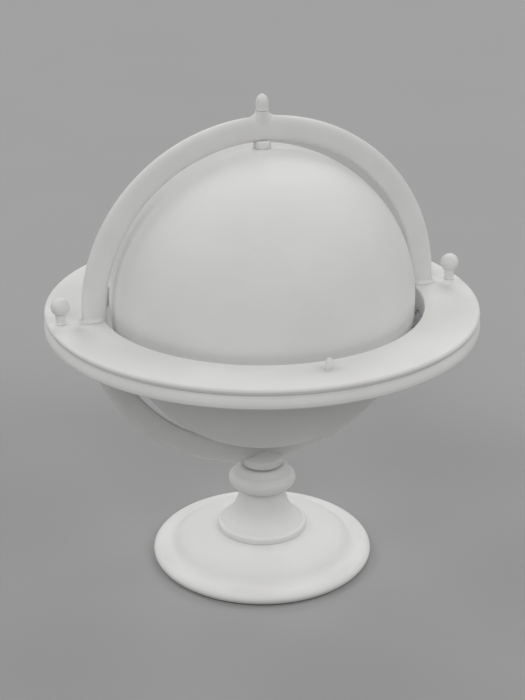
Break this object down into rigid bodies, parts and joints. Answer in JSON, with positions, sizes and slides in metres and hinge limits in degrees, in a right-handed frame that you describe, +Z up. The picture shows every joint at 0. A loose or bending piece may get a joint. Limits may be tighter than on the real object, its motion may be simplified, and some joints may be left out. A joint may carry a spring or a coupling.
{
  "type": "table globe",
  "caption": "Table globe: a plain ball that spins on a vertical axis in a fixed meridian ring, with a broad horizon ring, on a turned pedestal.",
  "frame": {"origin": "middle of the underside, on the table top", "axes": "+Z up through the ball's pivots; the meridian ring lies in the XZ plane, and -Y is the front, about where the front marker peg is"},
  "size_m": [0.4346, 0.4346, 0.4966],
  "materials": {
    "painted_wood": "matt off-white paint over turned wood",
    "painted_metal": "matt off-white paint",
    "globe_skin": "plain off-white matt shell",
    "bare_wood": "unfinished",
    "felt": "wool felt",
    "brass": "turned",
    "steel": "zinc plated",
    "iron": "as cast"
  },
  "bodies": {
    "stand": {"felt_pad": "felt", "ballast_disc": "iron", "base": "painted_wood", "tie_rod": "steel", "tie_nut": "steel", "tie_washer": "steel", "column": "painted_wood", "knop": "painted_wood", "head": "painted_wood", "cradle": "painted_metal", "arch": "painted_metal", "horizon_moulding": "painted_wood", "horizon_plate": "painted_wood", "bracket_left": "steel", "bracket_right": "steel", "screw_left_upper": "steel", "screw_left_lower": "steel", "screw_right_upper": "steel", "screw_right_lower": "steel", "nut_left_upper": "steel", "nut_left_lower": "steel", "nut_right_upper": "steel", "nut_right_lower": "steel", "clamp_nut_left": "steel", "clamp_nut_right": "steel", "marker_peg_front": "painted_metal", "marker_peg_back": "painted_metal", "top_pivot": "steel", "top_collar": "painted_metal", "finial": "painted_metal", "bottom_pivot": "steel", "thrust_washer": "brass"},
    "ball": {"north_shell": "globe_skin", "south_shell": "globe_skin", "north_block": "bare_wood", "south_block": "bare_wood", "north_bush": "brass", "south_bush": "brass", "equator_band": "bare_wood", "spine": "bare_wood"},
    "left_knob": {"clamp_knob_left": "painted_metal"},
    "right_knob": {"clamp_knob_right": "painted_metal"}
  },
  "joints": [
    {"name": "ball_spin", "type": "hinge", "parent": "stand", "child": "ball", "pos_m": [0, 0, 0.2915], "axis": [0, 0, 1], "continuous": true},
    {"name": "left_knob_turn", "type": "hinge", "parent": "stand", "child": "left_knob", "pos_m": [-0.204, 0, 0.2862], "axis": [0, 0, 1], "range_deg": [0, 270]},
    {"name": "right_knob_turn", "type": "hinge", "parent": "stand", "child": "right_knob", "pos_m": [0.204, 0, 0.2862], "axis": [0, 0, 1], "range_deg": [0, 270]}
  ]
}
